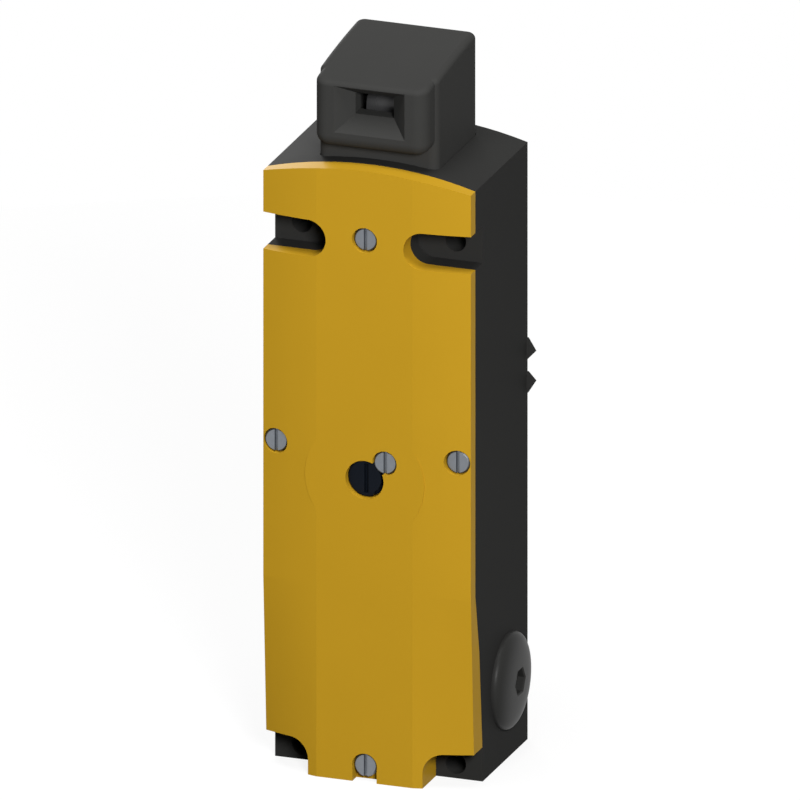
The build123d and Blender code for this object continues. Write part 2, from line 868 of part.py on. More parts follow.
def make_cam_wheel():
    # Two rim discs for the tongue, with the plunger's track between them.
    track = cam_track_points()
    low_r = cam_r - plunger_stroke
    dwell_mid = on_cam(low_r, cam_turn_deg + cam_dwell_deg / 2)
    dwell_end = on_cam(low_r, cam_turn_deg + cam_dwell_deg)
    rim_out = on_cam(cam_r, cam_turn_deg + cam_dwell_deg + 6)
    start = on_cam(cam_r, -12)
    face = make_face([
        ThreePointArc(start, on_cam(cam_r, -8), on_cam(cam_r, -5)),
        Line(on_cam(cam_r, -5), track[1]),
        Spline(*track[1:]),
        Line(track[-1], on_cam(low_r, cam_turn_deg)),
        ThreePointArc(on_cam(low_r, cam_turn_deg), dwell_mid, dwell_end),
        Line(dwell_end, rim_out),
        ThreePointArc(rim_out, on_cam(cam_r, cam_back_deg), start),
    ])
    core = Plane(origin=(-cam_track_w / 2 - 0.3, axis_y, cam_z), x_dir=(0, 1, 0), z_dir=(1, 0, 0)) * face
    wheel = extrude(core, amount=cam_track_w + 0.6)
    for side in (-1, 1):
        wheel += rod_x(axis_y, cam_z, cam_rim_r, side * cam_track_w / 2, side * cam_width / 2)
        wheel += rod_x(axis_y, cam_z, cam_pin_r + 1.8, side * cam_track_w / 2, side * (cam_room_x - 0.4))
    wheel -= rod_x(axis_y, cam_z, cam_pin_r + 0.06, -far, far)
    return wheel - cam_notch()


def cam_notch():
    # The gap that the tongue's cross bar enters, open to the front and the top.
    a0 = radians(cam_notch_from_deg)
    a1 = radians(cam_notch_to_deg)
    big = cam_rim_r * 1.6
    face = make_face(Polyline(
        (-cam_notch_r * sin(a0), cam_notch_r * cos(a0)),
        (-big * sin(a0), big * cos(a0)),
        (-big, big),
        (-big * sin(a1), big * cos(a1)),
        (-cam_notch_r * sin(a1), cam_notch_r * cos(a1)),
        close=True))
    placed = Plane(origin=(-cam_width, axis_y, cam_z), x_dir=(0, 1, 0), z_dir=(1, 0, 0)) * face
    return extrude(placed, amount=2 * cam_width)


# Plunger and its contacts

def make_plunger():
    shoulder = nose_top_rest_z - nose_len
    plunger = rod_z(0, axis_y, plunger_r, plunger_low_z, shoulder)
    plunger += rod_z(0, axis_y, nose_r, shoulder, nose_top_rest_z - nose_r)
    plunger += Pos(0, axis_y, nose_top_rest_z - nose_r) * Sphere(nose_r)
    plunger += rod_z(0, axis_y, collar_r, collar_low_z, collar_low_z + collar_t)
    return plunger


def make_plunger_guide():
    guide = rod_z(0, axis_y, guide_r, guide_low_z, head_seat_z)
    guide += rod_z(0, axis_y, guide_flange_r, seat_under_z - guide_flange_t, seat_under_z)
    seal_room = rod_z(0, axis_y, guide_r - 0.9, head_seat_z - plunger_seal_t - 0.1, head_seat_z)
    guide -= rod_z(0, axis_y, plunger_r + 0.08, 0, far)
    return guide - seal_room


def make_plunger_seal():
    seal = rod_z(0, axis_y, guide_r - 1.0, head_seat_z - plunger_seal_t, head_seat_z)
    return seal - rod_z(0, axis_y, plunger_r + 0.1, 0, far)


def coil_spring(x, y, z0, z1, turns, radius):
    # A coil that stands between two faces, set in by the wire's radius.
    low = z0 + wire_r
    high = z1 - wire_r
    path = Helix(pitch=(high - low) / turns, height=high - low, radius=radius)
    start = path @ 0
    ring = Plane(origin=start, z_dir=path % 0) * Circle(wire_r)
    return Pos(x, y, low) * sweep(ring, path=path, is_frenet=True)


def make_plunger_spring():
    return coil_spring(0, axis_y, frame_top_z + 0.1, bar_hub_low_z - 0.1, plunger_spring_turns,
                       plunger_r + wire_r + 0.5)


def make_contact_carrier():
    bar = block(-bar_half_x, bar_half_x, axis_y - bar_half_y, axis_y + bar_half_y,
                bar_low_z, bar_low_z + bar_t)
    bar += rod_z(0, axis_y, bar_hub_r, bar_hub_low_z, bar_low_z + bar_t + bar_hub_rise)
    return bar - rod_z(0, axis_y, plunger_r + 0.02, 0, far)


def bridge(x, z0, half_x):
    return block(x - half_x, x + half_x, axis_y - bridge_half_y, axis_y + bridge_half_y, z0, z0 + bridge_t)


def make_carrier_bridges():
    half_x = strip_pitch / 2 + strip_w / 2
    mid = strip_x + strip_pitch / 2
    bridges = []
    for x in (-mid, mid):
        bridges.append(bridge(x, bar_low_z - bridge_t, half_x))
        bridges.append(bridge(x, bar_low_z + bar_t, half_x))
    return Compound(bridges)


def strip_levels():
    # Underside of the lower and of the upper fixed strips.
    low = bar_low_z - bridge_t - face_gap - rivet_h - strip_t
    high = bar_low_z + bar_t + bridge_t + plunger_stroke + face_gap + rivet_h
    return low, high


def fixed_strip(x, z0, rivet_up, front, pad_drop):
    strip = block(x - strip_w / 2, x + strip_w / 2, front - strip_t, axis_y + strip_back_y, z0, z0 + strip_t)
    if rivet_up:
        strip += rod_z(x, axis_y, rivet_r, z0 + strip_t - 0.3, z0 + strip_t + rivet_h)
    else:
        strip += rod_z(x, axis_y, rivet_r, z0 - rivet_h, z0 + 0.3)
    pad_low = z0 - pad_drop
    half = terminal_pad / 2
    pad = block(x - half, x + half, front - strip_t, front, pad_low, pad_low + terminal_pad)
    pad -= rod_y(x, pad_low + terminal_pad / 2, terminal_shank_r + 0.05, -far, far)
    return strip + pad


def contact_levels():
    low, high = strip_levels()
    return [(low, True, terminal_pad - strip_t), (high, False, 0.0)]


def make_fixed_contacts():
    strips = []
    for z0, up, drop in contact_levels():
        for x in (strip_x, strip_x + strip_pitch):
            strips += both_sides(fixed_strip(x, z0, up, block_front_y, drop))
    return Compound(strips)


def terminal_screw(x, z, front):
    y = front - strip_t - terminal_head_t
    return slotted_screw(x, z, y, terminal_head_r, terminal_head_t, terminal_shank_r,
                         terminal_len, screw_slot_w * 0.8, screw_slot_d * 0.8)


def make_contact_screws():
    screws = []
    for z0, _, drop in contact_levels():
        for x in (strip_x, strip_x + strip_pitch):
            z = z0 - drop + terminal_pad / 2
            screws += [terminal_screw(x, z, block_front_y), terminal_screw(-x, z, block_front_y)]
    return Compound(screws)


def make_contact_block():
    body = block(block_in_x, block_out_x, block_front_y, block_back_y, block_low_z, block_top_z)
    low, high = strip_levels()
    room_y = bar_half_y + 1.2
    body -= block(block_in_x - 1, block_out_x - block_wall + 0.6,
                  axis_y - room_y, axis_y + strip_back_y + 0.3, low + strip_t, high)
    for z0, _, drop in contact_levels():
        for x in (strip_x, strip_x + strip_pitch):
            g = seam_gap
            body -= block(x - strip_w / 2 - g, x + strip_w / 2 + g, block_front_y - 1,
                          axis_y + strip_back_y + g, z0 - g, z0 + strip_t + g)
            z = z0 - drop + terminal_pad / 2
            body -= rod_y(x, z, terminal_shank_r + 0.05, block_front_y - 1,
                          block_front_y + terminal_len - strip_t + 0.5)
    for x, z, y in m3_bosses():
        if y == block_back_y:
            body -= rod_y(abs(x), z, m3_r + slide_gap, -far, far)
            body -= rod_y(abs(x), z, m3_head_r + 0.2, block_front_y - 1, block_front_y + block_screw_sink)
    return largest(body)


def m3_screw(x, z, seat_y, end_y):
    screw = rod_y(x, z, m3_head_r, seat_y - m3_head_t, seat_y)
    screw += rod_y(x, z, m3_r, seat_y - 0.5, end_y)
    top = seat_y - m3_head_t
    return screw - block(x - 0.4, x + 0.4, top - 1, top + 0.8, z - far, z + far)


def make_block_screws():
    screws = []
    for x, z, y in m3_bosses():
        if y == block_back_y:
            screws.append(m3_screw(x, z, block_front_y + block_screw_sink, y + m3_grip))
    return Compound(screws)


# Solenoid

def make_solenoid_frame():
    x0 = coil_x - coil_half_x
    x1 = coil_x + coil_half_x
    y0 = axis_y - coil_half_y
    y1 = coil_back_y()
    frame = block(x0, x1, y0, y1, coil_low_z, coil_top_z)
    frame -= block(x0 - 1, x1 + 1, y0 - 1, y1 - yoke_t, coil_low_z + yoke_t, coil_top_z - yoke_t)
    frame -= rod_z(coil_x, axis_y, armature_r + 0.25, coil_top_z - yoke_t - 1, coil_top_z + 1)
    for x in (coil_x - coil_boss_x(), coil_x + coil_boss_x()):
        for z in coil_screw_zs():
            frame -= rod_y(x, z, m3_r + slide_gap, 0, far)
    return frame


def make_bobbin():
    low = coil_low_z + yoke_t
    high = coil_top_z - yoke_t
    flange_r = winding_r + 0.5
    body = rod_z(coil_x, axis_y, bobbin_r, low, high)
    body += rod_z(coil_x, axis_y, flange_r, low, low + bobbin_flange_t)
    body += rod_z(coil_x, axis_y, flange_r, high - bobbin_flange_t, high)
    cut = block(-far, far, coil_back_y() - yoke_t - 2.4, far, low, high)
    return body - rod_z(coil_x, axis_y, bobbin_bore_r, 0, far) - notched_for_screws() - cut


def notched_for_screws():
    # Room for the heads of the screws that hold the yoke.
    cuts = []
    for x in (coil_x - coil_boss_x(), coil_x + coil_boss_x()):
        for z in coil_screw_zs():
            y = coil_back_y() - yoke_t
            cuts.append(rod_y(x, z, m3_head_r + 0.3, y - m3_head_t - 0.3, y))
    return cuts


def make_coil():
    low = coil_low_z + yoke_t + bobbin_flange_t + 0.05
    high = coil_top_z - yoke_t - bobbin_flange_t - 0.05
    body = rod_z(coil_x, axis_y, winding_r, low, high) - rod_z(coil_x, axis_y, bobbin_r + 0.05, 0, far)
    return body - block(-far, far, coil_back_y() - yoke_t - m3_head_t - 0.3, far, low, high)


def make_solenoid_core():
    low = coil_low_z + yoke_t
    core = rod_z(coil_x, axis_y, bobbin_bore_r - 0.1, low, low + core_len)
    return core


def armature_low_z():
    return coil_low_z + yoke_t + core_len + face_gap


def make_armature():
    return rod_z(coil_x, axis_y, armature_r, armature_low_z(), pad_low_z)


def make_armature_pad():
    top = pad_low_z + pad_t
    pad = block(pad_left_x, pad_right_x, axis_y - pad_half_y, axis_y + pad_half_y, pad_low_z, top)
    pad = fillet(pad.edges().filter_by(Axis.Z), 1.2)
    reach = monitor_mid_x() + stem_w / 2
    pad += block(pad_right_x - 1, reach, axis_y - arm_half_y, axis_y + arm_half_y, pad_low_z, top - 0.6)
    stem_low = monitor_bar_low_z
    pad += block(reach - stem_w, reach, axis_y - arm_half_y, axis_y + arm_half_y, stem_low, pad_low_z + 0.5)
    return pad


def monitor_mid_x():
    return monitor_x + strip_pitch / 2


def make_armature_spring():
    return coil_spring(coil_x, axis_y, coil_top_z + 0.1, pad_low_z - 0.1, armature_spring_turns,
                       armature_r + wire_r + 0.6)


def make_solenoid_screws():
    screws = []
    for x in (coil_x - coil_boss_x(), coil_x + coil_boss_x()):
        for z in coil_screw_zs():
            screws.append(m3_screw(x, z, coil_back_y() - yoke_t, coil_back_y() + m3_grip - 2))
    return Compound(screws)


# Contact that reports the lock

def monitor_levels():
    low = monitor_bar_low_z - bridge_t - face_gap - rivet_h - strip_t
    return [(low, True, terminal_pad - strip_t)]


def make_monitor_contacts():
    z0, up, drop = monitor_levels()[0]
    return Compound([fixed_strip(x, z0, up, side_block_front_y, drop)
                     for x in (monitor_x, monitor_x + strip_pitch)])


def make_monitor_bridge():
    return bridge(monitor_mid_x(), monitor_bar_low_z - bridge_t, strip_pitch / 2 + strip_w / 2)


def make_monitor_screws():
    z0, _, drop = monitor_levels()[0]
    z = z0 - drop + terminal_pad / 2
    xs = (monitor_x, monitor_x + strip_pitch)
    return Compound([terminal_screw(x, z, side_block_front_y) for x in xs])


def make_monitor_block():
    body = block(side_block_in_x, side_block_out_x, side_block_front_y, side_block_back_y,
                 monitor_low_z, monitor_top_z)
    z0, _, drop = monitor_levels()[0]
    body -= block(side_block_in_x + block_wall, side_block_out_x - block_wall, axis_y - arm_half_y - 1,
                  axis_y + strip_back_y + 0.3, z0 + strip_t, monitor_top_z + 1)
    for x in (monitor_x, monitor_x + strip_pitch):
        g = seam_gap
        body -= block(x - strip_w / 2 - g, x + strip_w / 2 + g, side_block_front_y - 1,
                      axis_y + strip_back_y + g, z0 - g, z0 + strip_t + g)
        z = z0 - drop + terminal_pad / 2
        body -= rod_y(x, z, terminal_shank_r + 0.05, side_block_front_y - 1,
                      side_block_front_y + terminal_len - strip_t + 0.5)
    x, z, y = side_screw_places()[1]
    body -= rod_y(x, z, m3_r + slide_gap, -far, far)
    return largest(body - rod_y(x, z, m3_head_r + 0.2, -far, side_block_front_y + side_screw_sink))


def supply_xs():
    mid = (side_block_in_x + side_block_out_x) / 2
    return [mid - supply_pitch / 2, mid + supply_pitch / 2]


def make_supply_block():
    body = block(side_block_in_x, side_block_out_x, side_block_front_y, side_block_back_y,
                 supply_low_z, supply_top_z)
    mid_z = (supply_low_z + supply_top_z) / 2
    for x in supply_xs():
        body -= rod_y(x, mid_z, terminal_shank_r + 0.05, -far,
                      side_block_front_y + terminal_len - strip_t + 0.5)
    x, z, y = side_screw_places()[0]
    body -= rod_y(x, z, m3_r + slide_gap, -far, far)
    return body - rod_y(x, z, m3_head_r + 0.2, -far, side_block_front_y + side_screw_sink)


def make_supply_plates():
    mid_z = (supply_low_z + supply_top_z) / 2
    plates = []
    for x in supply_xs():
        half = terminal_pad / 2
        plate = block(x - half, x + half, side_block_front_y - strip_t, side_block_front_y,
                      mid_z - half, mid_z + half)
        plates.append(plate - rod_y(x, mid_z, terminal_shank_r + 0.05, -far, far))
    return Compound(plates)


def make_supply_screws():
    mid_z = (supply_low_z + supply_top_z) / 2
    return Compound([terminal_screw(x, mid_z, side_block_front_y) for x in supply_xs()])


def make_side_block_screws():
    seat_y = side_block_front_y + side_screw_sink
    return Compound([m3_screw(x, z, seat_y, y + m3_grip) for x, z, y in side_screw_places()])


# Lock

def lever_face():
    # The lever withdrawn, seen from the front. Its upright is drawn locked, then turned back.
    tip_top = lever_tip_z + lever_tip_t
    right_x = lever_upright_x + lever_upright_w
    upright = make_face(Polyline(
        (lever_x - lever_hub_r * 0.9, lever_z),
        (lever_x + lever_hub_r * 0.6, lever_z + lever_hub_r * 0.7),
        (right_x, lever_tip_z - lever_bend_in),
        (right_x, lever_tip_z),
        (lever_tip_x, lever_tip_z),
        (lever_tip_x, tip_top),
        (lever_upright_x, tip_top),
        (lever_upright_x, lever_tip_z - lever_bend_out),
        close=True))
    upright = Pos(lever_x, lever_z) * Rot(0, 0, lever_turn_deg) * Pos(-lever_x, -lever_z) * upright
    arm_z = pad_low_z + pad_t + face_gap + lever_arm_t / 2
    arm = make_face(Polyline(
        (lever_x, lever_z + lever_hub_r * 0.8),
        (lever_x, lever_z - lever_hub_r * 0.8),
        (lever_arm_x, arm_z - lever_arm_t / 2),
        (lever_arm_x, arm_z + lever_arm_t / 2),
        close=True))
    return upright + arm + Pos(lever_arm_x, arm_z) * Circle(lever_arm_t / 2)


def make_lock_lever():
    lever = front_prism(lever_face(), axis_y - lever_half_y, axis_y + lever_half_y)
    lever += rod_y(lever_x, lever_z, lever_hub_r, axis_y - lever_hub_half_y, axis_y + lever_hub_half_y)
    return lever - rod_y(lever_x, lever_z, lever_pin_r + 0.05, -far, far)


def make_lever_pin():
    return rod_y(lever_x, lever_z, lever_pin_r, carriage_front_y(), carriage_back_y())


def make_release_carriage():
    y0 = carriage_front_y()
    y1 = carriage_back_y()
    body = block(carriage_left_x, carriage_right_x, y0, y1, carriage_low_z, carriage_top_z)
    body -= block(carriage_left_x - 1, carriage_right_x - carriage_t, y0 + carriage_t, y1 - carriage_t,
                  0, far)
    body = fillet(body.edges().filter_by(Axis.Z).sort_by(Axis.X)[-2:], 1.2)
    body += block(guide_lug_left(), guide_lug_left() + guide_lug_x, y1 - 0.5, y1 + face_gap + frame_t,
                  lug_z() - lug_slot_h / 2 + 0.15, lug_z() + lug_slot_h / 2 - 0.15)
    body -= rod_y(lever_x, lever_z, lever_pin_r + 0.02, -far, far)
    gap = 0.2
    top_z = release_z + release_throw + release_pin_r + gap
    low_z = release_z + release_throw * sin(radians(release_start_deg)) - release_pin_r - gap
    pin_x = release_throw * cos(radians(release_start_deg))
    half = release_pin_r + gap
    return body - block(pin_x - half, pin_x + half, y0 - 1, y0 + carriage_t + 0.2, low_z, top_z)


def guide_lug_left():
    return (carriage_left_x + carriage_right_x) / 2 - guide_lug_x / 2


def lug_z():
    return (carriage_low_z + carriage_top_z) / 2


def make_lock_frame():
    y0 = frame_back_y() - frame_t
    y1 = frame_back_y()
    frame = block(-frame_half_x, frame_half_x, y0, y1, frame_low_z, frame_top_z)
    frame += block(-frame_shelf_x, frame_shelf_x, frame_shelf_y, y1, frame_top_z - frame_t, frame_top_z)
    frame -= rod_z(0, axis_y, plunger_r + slide_gap, 0, far)
    left = guide_lug_left() - carriage_travel - 0.5
    frame -= block(left, guide_lug_left() + guide_lug_x + 0.5, y0 - 1, y1 + 1,
                   lug_z() - lug_slot_h / 2, lug_z() + lug_slot_h / 2)
    for side in (-1, 1):
        for z in (frame_screw_low_z, frame_screw_top_z):
            frame -= rod_y(side * frame_screw_x, z, m3_r + slide_gap, y0 - 1, y1 + 1)
    return frame


def make_frame_screws():
    screws = []
    seat_y = frame_back_y() - frame_t
    for side in (-1, 1):
        for z in (frame_screw_low_z, frame_screw_top_z):
            screws.append(m3_screw(side * frame_screw_x, z, seat_y, frame_back_y() + m3_grip))
    return Compound(screws)


# Blanking plugs

def make_entry_plug():
    dome_r = (plug_flange_r ** 2 + (plug_dome - plug_rim) ** 2) / (2 * (plug_dome - plug_rim))
    x_rim = outer_x + plug_rim
    lines = [
        Line((outer_x, 0), (outer_x, plug_flange_r)),
        Line((outer_x, plug_flange_r), (x_rim, plug_flange_r)),
        RadiusArc((x_rim, plug_flange_r), (outer_x + plug_dome, 0), dome_r),
        Line((outer_x + plug_dome, 0), (outer_x, 0)),
    ]
    cap = revolve(make_face(lines), Axis.X)
    cap = Pos(0, entry_y, entry_z) * cap
    cap -= rod_x(entry_y, entry_z, washer_r + 0.1, outer_x - 1, outer_x + washer_t)
    inner = outer_x - entry_depth + 0.5
    shank = rod_x(entry_y, entry_z, thread_r - thread_gap, inner, outer_x + washer_t + 0.1)
    shank -= rod_x(entry_y, entry_z, thread_r - plug_wall, inner - 1, outer_x - 1.5)
    plug = cap + shank
    slot = block(outer_x + plug_dome - plug_slot_d, outer_x + plug_dome + 1, entry_y - plug_slot_w / 2,
                 entry_y + plug_slot_w / 2, entry_z - plug_slot_l / 2, entry_z + plug_slot_l / 2)
    return plug - slot


def make_entry_seal():
    ring = rod_x(entry_y, entry_z, washer_r, outer_x, outer_x + washer_t - 0.02)
    return ring - rod_x(entry_y, entry_z, thread_r + 0.05, 0, far)


os.makedirs("parts", exist_ok=True)
right_plug = make_entry_plug()
right_block = make_contact_block()
parts = {
    "housing": make_housing(),
    "cover": make_cover(),
    "cover_seal": gasket_band(seam_gap / 2),
    "cover_screws": make_cover_screws(),
    "sealing_screw": make_sealing_screw(),
    "release_rotor": make_release_rotor(),
    "release_seal": make_release_seal(),
    "release_clip": make_release_clip(),
    "head": make_head(),
    "head_seal": make_head_seal(),
    "head_screws": make_head_screws(),
    "axle_retainer": make_axle_retainer(),
    "cam_axle": make_cam_axle(),
    "cam_wheel": make_cam_wheel(),
    "plunger": make_plunger(),
    "plunger_guide": make_plunger_guide(),
    "plunger_seal": make_plunger_seal(),
    "plunger_spring": make_plunger_spring(),
    "contact_carrier": make_contact_carrier(),
    "carrier_bridges": make_carrier_bridges(),
    "fixed_contacts": make_fixed_contacts(),
    "contact_screws": make_contact_screws(),
    "contact_block_right": right_block,
    "contact_block_left": mirror_x(right_block),
    "block_screws": make_block_screws(),
    "solenoid_frame": make_solenoid_frame(),
    "bobbin": make_bobbin(),
    "coil": make_coil(),
    "solenoid_core": make_solenoid_core(),
    "solenoid_screws": make_solenoid_screws(),
    "armature": make_armature(),
    "armature_pad": make_armature_pad(),
    "armature_spring": make_armature_spring(),
    "monitor_block": make_monitor_block(),
    "monitor_contacts": make_monitor_contacts(),
    "monitor_bridge": make_monitor_bridge(),
    "monitor_screws": make_monitor_screws(),
    "supply_block": make_supply_block(),
    "supply_plates": make_supply_plates(),
    "supply_screws": make_supply_screws(),
    "side_block_screws": make_side_block_screws(),
    "lock_lever": make_lock_lever(),
    "lever_pin": make_lever_pin(),
    "release_carriage": make_release_carriage(),
    "lock_frame": make_lock_frame(),
    "frame_screws": make_frame_screws(),
    "entry_plug_right": right_plug,
    "entry_plug_left": mirror_x(right_plug),
    "entry_seals": Compound(both_sides(make_entry_seal())),
}
for name, shape in parts.items():
    export_step(shape, f"parts/{name}.step")
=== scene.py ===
import bpy
import math
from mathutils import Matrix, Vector


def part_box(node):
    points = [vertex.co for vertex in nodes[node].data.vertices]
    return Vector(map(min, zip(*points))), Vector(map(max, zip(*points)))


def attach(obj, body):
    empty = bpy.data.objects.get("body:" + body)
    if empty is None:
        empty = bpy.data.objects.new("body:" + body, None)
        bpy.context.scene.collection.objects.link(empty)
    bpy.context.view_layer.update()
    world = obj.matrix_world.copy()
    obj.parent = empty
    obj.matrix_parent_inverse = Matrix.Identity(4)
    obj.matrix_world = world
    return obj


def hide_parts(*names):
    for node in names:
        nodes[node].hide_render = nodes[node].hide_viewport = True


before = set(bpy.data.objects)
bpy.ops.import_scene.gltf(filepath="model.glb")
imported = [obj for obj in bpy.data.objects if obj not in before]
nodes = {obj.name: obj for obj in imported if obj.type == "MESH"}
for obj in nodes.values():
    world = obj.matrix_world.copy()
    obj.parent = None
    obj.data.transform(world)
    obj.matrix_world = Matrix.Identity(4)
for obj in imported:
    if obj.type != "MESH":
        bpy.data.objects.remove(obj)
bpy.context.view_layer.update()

# Camera
# A parallel projection from 20 degrees right of the cover and 20 degrees above, because
# every upright edge of the switch runs parallel in the photograph.

camera_azimuth = math.radians(19.9)
camera_elevation = math.radians(20.05)
pixels_per_metre = 4089.0
image_pixels = 800
origin_pixel = (394.7, 753.7)
camera_distance = 1.2

toward_camera = Vector((
    math.sin(camera_azimuth) * math.cos(camera_elevation),
    -math.cos(camera_azimuth) * math.cos(camera_elevation),
    math.sin(camera_elevation),
))
camera_right = Vector((math.cos(camera_azimuth), math.sin(camera_azimuth), 0))
camera_up = toward_camera.cross(camera_right)
camera_data = bpy.data.cameras.new("camera")
camera_data.type = "ORTHO"
camera_data.ortho_scale = image_pixels / pixels_per_metre
camera = bpy.data.objects.new("camera", camera_data)
middle = (camera_right * (image_pixels / 2 - origin_pixel[0])
          + camera_up * (origin_pixel[1] - image_pixels / 2)) / pixels_per_metre
camera.location = middle + toward_camera * camera_distance
camera.rotation_mode = "QUATERNION"
camera.rotation_quaternion = (-toward_camera).to_track_quat("-Z", "Y")
bpy.context.scene.collection.objects.link(camera)
bpy.context.scene.camera = camera
bpy.context.scene.view_settings.view_transform = "Standard"


# Floor and room
# A plain table top that looks white and keeps a soft shadow, in a white room with weak even
# light. What the camera and reflections see is white, and what lights the switch is dimmer.

def new_material(name):
    material = bpy.data.materials.new(name)
    material.use_nodes = True
    material.node_tree.nodes.clear()
    return material


def seen_directly(tree, kinds):
    # 1 for the rays of these kinds, and 0 for the light that goes from one surface to another.
    rays = tree.nodes.new("ShaderNodeLightPath")
    level = rays.outputs[kinds[0]]
    for kind in kinds[1:]:
        either = tree.nodes.new("ShaderNodeMath")
        either.operation = "MAXIMUM"
        tree.links.new(level, either.inputs[0])
        tree.links.new(rays.outputs[kind], either.inputs[1])
        level = either.outputs[0]
    return level


white_for = ["Is Camera Ray", "Is Glossy Ray", "Is Transmission Ray"]
floor_radius = 0.40
floor_sides = 96
floor_colour = 0.08
floor_seen_colour = 0.14
floor_seen_glow = 0.87

bpy.ops.mesh.primitive_circle_add(vertices=floor_sides, radius=floor_radius, fill_type="NGON")
floor = bpy.context.object
floor.name = "floor"
floor_finish = new_material("floor_white")
tree = floor_finish.node_tree
surface = tree.nodes.new("ShaderNodeBsdfDiffuse")
surface.inputs["Color"].default_value = (*[floor_colour] * 3, 1)
shadowed = tree.nodes.new("ShaderNodeBsdfDiffuse")
shadowed.inputs["Color"].default_value = (*[floor_seen_colour] * 3, 1)
glow = tree.nodes.new("ShaderNodeEmission")
glow.inputs["Strength"].default_value = floor_seen_glow
seen = tree.nodes.new("ShaderNodeAddShader")
tree.links.new(shadowed.outputs[0], seen.inputs[0])
tree.links.new(glow.outputs[0], seen.inputs[1])
mix = tree.nodes.new("ShaderNodeMixShader")
tree.links.new(seen_directly(tree, white_for), mix.inputs["Fac"])
tree.links.new(surface.outputs[0], mix.inputs[1])
tree.links.new(seen.outputs[0], mix.inputs[2])
output = tree.nodes.new("ShaderNodeOutputMaterial")
tree.links.new(mix.outputs[0], output.inputs["Surface"])
floor.data.materials.append(floor_finish)

room_light = 0.04
room_white = 1.0
world = bpy.data.worlds.new("room")
bpy.context.scene.world = world
world.use_nodes = True
tree = world.node_tree
tree.nodes.clear()
even = tree.nodes.new("ShaderNodeBackground")
even.inputs["Color"].default_value = (1, 1, 1, 1)
even.inputs["Strength"].default_value = room_light
white = tree.nodes.new("ShaderNodeBackground")
white.inputs["Color"].default_value = (1, 1, 1, 1)
white.inputs["Strength"].default_value = room_white
mix = tree.nodes.new("ShaderNodeMixShader")
tree.links.new(seen_directly(tree, white_for), mix.inputs["Fac"])
tree.links.new(even.outputs[0], mix.inputs[1])
tree.links.new(white.outputs[0], mix.inputs[2])
output = tree.nodes.new("ShaderNodeOutputWorld")
tree.links.new(mix.outputs[0], output.inputs["Surface"])


# Lamps
# One large soft lamp over the camera's right shoulder, a weaker one nearly overhead, and one
# low behind on the left for the back.

lamp_aim = Vector((0, 0, 0.09))


def soft_lamp(name, azimuth, elevation, distance, size, watts):
    a = math.radians(azimuth)
    e = math.radians(elevation)
    away = Vector((math.sin(a) * math.cos(e), -math.cos(a) * math.cos(e), math.sin(e)))
    data = bpy.data.lights.new(name, "AREA")
    data.shape = "DISK"
    data.size = size
    data.energy = watts
    lamp = bpy.data.objects.new(name, data)
    lamp.location = lamp_aim + away * distance
    lamp.rotation_mode = "QUATERNION"
    lamp.rotation_quaternion = (-away).to_track_quat("-Z", "Y")
    bpy.context.scene.collection.objects.link(lamp)


soft_lamp("lamp_right", azimuth=31, elevation=25, distance=1.3, size=0.35, watts=17)
soft_lamp("lamp_top", azimuth=-10, elevation=78, distance=1.2, size=0.6, watts=10)
soft_lamp("lamp_behind", azimuth=215, elevation=12, distance=1.3, size=0.5, watts=8)


# Housing
# The black box that everything sits in, moulded in glass-filled nylon with a fine matt
# texture. Four screws through its side notches hold it to the guard's frame.

cloud_scale = 55.0
cloud_detail = 5.0
roughness_spread = 0.05
grain_detail = 3.0
grain_strength = 0.6


def moulded_plastic(name, colour, roughness, grain, depth, variation, specular):
    # Grain is the size of the surface's texture and depth its height, both in metres. Variation
    # is how far the colour drifts over the piece, as a share of it.
    material = new_material(name)
    tree = material.node_tree
    place = tree.nodes.new("ShaderNodeTexCoord")
    shader = tree.nodes.new("ShaderNodeBsdfPrincipled")
    shader.inputs["Specular IOR Level"].default_value = specular
    clouds = tree.nodes.new("ShaderNodeTexNoise")
    clouds.inputs["Scale"].default_value = cloud_scale
    clouds.inputs["Detail"].default_value = cloud_detail
    tree.links.new(place.outputs["Object"], clouds.inputs["Vector"])
    tint = tree.nodes.new("ShaderNodeMix")
    tint.data_type = "RGBA"
    tint.inputs["A"].default_value = (*[c * (1 - variation) for c in colour], 1)
    tint.inputs["B"].default_value = (*[min(1.0, c * (1 + variation)) for c in colour], 1)
    tree.links.new(clouds.outputs["Fac"], tint.inputs["Factor"])
    tree.links.new(tint.outputs["Result"], shader.inputs["Base Color"])
    gloss = tree.nodes.new("ShaderNodeMapRange")
    gloss.inputs["To Min"].default_value = roughness - roughness_spread
    gloss.inputs["To Max"].default_value = roughness + roughness_spread
    tree.links.new(clouds.outputs["Fac"], gloss.inputs["Value"])
    tree.links.new(gloss.outputs["Result"], shader.inputs["Roughness"])
    fine = tree.nodes.new("ShaderNodeTexNoise")
    fine.inputs["Scale"].default_value = 1.0 / grain
    fine.inputs["Detail"].default_value = grain_detail
    tree.links.new(place.outputs["Object"], fine.inputs["Vector"])
    bump = tree.nodes.new("ShaderNodeBump")
    bump.inputs["Strength"].default_value = grain_strength
    bump.inputs["Distance"].default_value = depth
    tree.links.new(fine.outputs["Fac"], bump.inputs["Height"])
    tree.links.new(bump.outputs["Normal"], shader.inputs["Normal"])
    output = tree.nodes.new("ShaderNodeOutputMaterial")
    tree.links.new(shader.outputs[0], output.inputs["Surface"])
    return material


def dress(node, material):
    for place in nodes[node].material_slots:
        place.material = material


housing_black = moulded_plastic(
    "housing_black", colour=(0.029, 0.029, 0.028), roughness=0.62,
    grain=0.0005, depth=0.00002, variation=0.08, specular=0.01)
dress("housing", housing_black)


# Head
# The black block with the tongue's funnel and slot, a separate moulding in the same nylon.
# It stands on a gasket and is screwed down from inside the housing.

